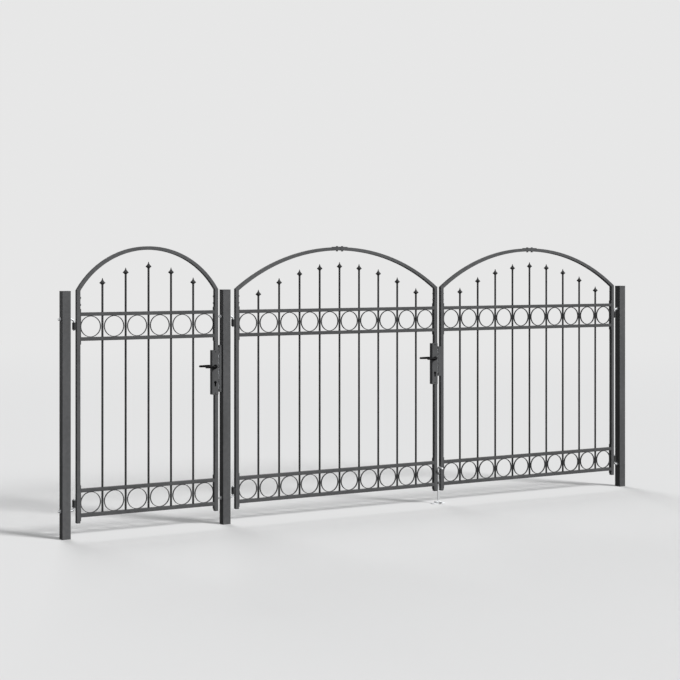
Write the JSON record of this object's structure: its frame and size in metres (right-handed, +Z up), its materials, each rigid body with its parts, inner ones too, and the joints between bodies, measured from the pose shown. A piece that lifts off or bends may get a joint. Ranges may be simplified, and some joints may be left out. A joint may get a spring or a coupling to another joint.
{
  "type": "driveway gate",
  "caption": "Arched steel driveway gate: paired driveway leaves and a narrower side gate on square posts, with spear-headed bars between bands of welded rings.",
  "frame": {"origin": "centre of the middle post's foot, at ground level", "axes": "+X along the gate line from the side gate to the driveway, +Y away from the street, the way the leaves open, +Z up"},
  "size_m": [4.031, 0.104, 1.6297],
  "materials": {
    "post_paint": "satin grey powder coat on square tube, lightly dusty",
    "frame_paint": "satin grey powder coat on rectangular tube",
    "band_paint": "satin grey powder coat over rails and welded rings",
    "bar_paint": "satin grey powder coat on round bar with cast spear heads",
    "hardware_paint": "satin grey powder coat on folded and turned hardware",
    "zinc_plate": "bright zinc plate on hinge pins and nuts",
    "bolt_zinc": "zinc plate on bent round bar, rubbed where it slides",
    "keeper_zinc": "zinc plate on pressed strip",
    "lever_black": "black satin coat on cast levers and roses",
    "cylinder_black": "black coat on the lock cylinder"
  },
  "bodies": {
    "posts": {"left_post": "post_paint", "middle_post": "post_paint", "right_post": "post_paint", "post_caps": "post_paint", "hinge_pins": "zinc_plate", "hinge_nuts": "zinc_plate", "side_gate_strike": "hardware_paint", "floor_keeper": "keeper_zinc"},
    "side_gate": {"side_gate_hinge_stile": "frame_paint", "side_gate_latch_stile": "frame_paint", "side_gate_arch": "frame_paint", "side_gate_lower_band": "band_paint", "side_gate_upper_band": "band_paint", "side_gate_bars": "bar_paint", "side_gate_spear_heads": "bar_paint", "side_gate_hinge_barrels": "hardware_paint", "side_gate_lock_case": "hardware_paint", "side_gate_lock_cylinder": "cylinder_black", "side_gate_lever_roses": "lever_black"},
    "side_gate_handle": {"side_gate_levers": "lever_black"},
    "left_leaf": {"left_leaf_hinge_stile": "frame_paint", "left_leaf_lock_stile": "frame_paint", "left_leaf_arch": "frame_paint", "left_leaf_arch_joint": "frame_paint", "left_leaf_lower_band": "band_paint", "left_leaf_upper_band": "band_paint", "left_leaf_bars": "bar_paint", "left_leaf_spear_heads": "bar_paint", "left_leaf_hinge_barrels": "hardware_paint", "left_leaf_lock_case": "hardware_paint", "left_leaf_lock_cylinder": "cylinder_black", "left_leaf_lever_roses": "lever_black"},
    "left_leaf_handle": {"left_leaf_levers": "lever_black"},
    "right_leaf": {"right_leaf_hinge_stile": "frame_paint", "right_leaf_meeting_stile": "frame_paint", "right_leaf_arch": "frame_paint", "right_leaf_arch_joint": "frame_paint", "right_leaf_lower_band": "band_paint", "right_leaf_upper_band": "band_paint", "right_leaf_bars": "bar_paint", "right_leaf_spear_heads": "bar_paint", "right_leaf_hinge_barrels": "hardware_paint", "right_leaf_strike": "hardware_paint", "right_leaf_bolt_guides": "hardware_paint"},
    "bolt": {"drop_bolt": "bolt_zinc"}
  },
  "joints": [
    {"name": "side_gate_hinge", "type": "hinge", "parent": "posts", "child": "side_gate", "pos_m": [-0.921, 0, 1.172], "axis": [0, 0, 1], "range_deg": [0, 95]},
    {"name": "left_leaf_hinge", "type": "hinge", "parent": "posts", "child": "left_leaf", "pos_m": [0.052, 0, 1.172], "axis": [0, 0, 1], "range_deg": [0, 95]},
    {"name": "right_leaf_hinge", "type": "hinge", "parent": "posts", "child": "right_leaf", "pos_m": [2.926, 0, 1.172], "axis": [0, 0, -1], "range_deg": [0, 95]},
    {"name": "side_gate_lever", "type": "hinge", "parent": "side_gate", "child": "side_gate_handle", "pos_m": [-0.069, 0, 0.923], "axis": [0, -1, 0], "range_deg": [0, 40], "stiffness_Nm_per_rad": 1, "springref_deg": -17.19},
    {"name": "left_leaf_lever", "type": "hinge", "parent": "left_leaf", "child": "left_leaf_handle", "pos_m": [1.456, 0, 0.923], "axis": [0, -1, 0], "range_deg": [0, 40], "stiffness_Nm_per_rad": 1, "springref_deg": -17.19},
    {"name": "drop_bolt_slide", "type": "slide", "parent": "right_leaf", "child": "bolt", "axis": [0, 0, 1], "range_m": [-0.012, 0.06]}
  ]
}
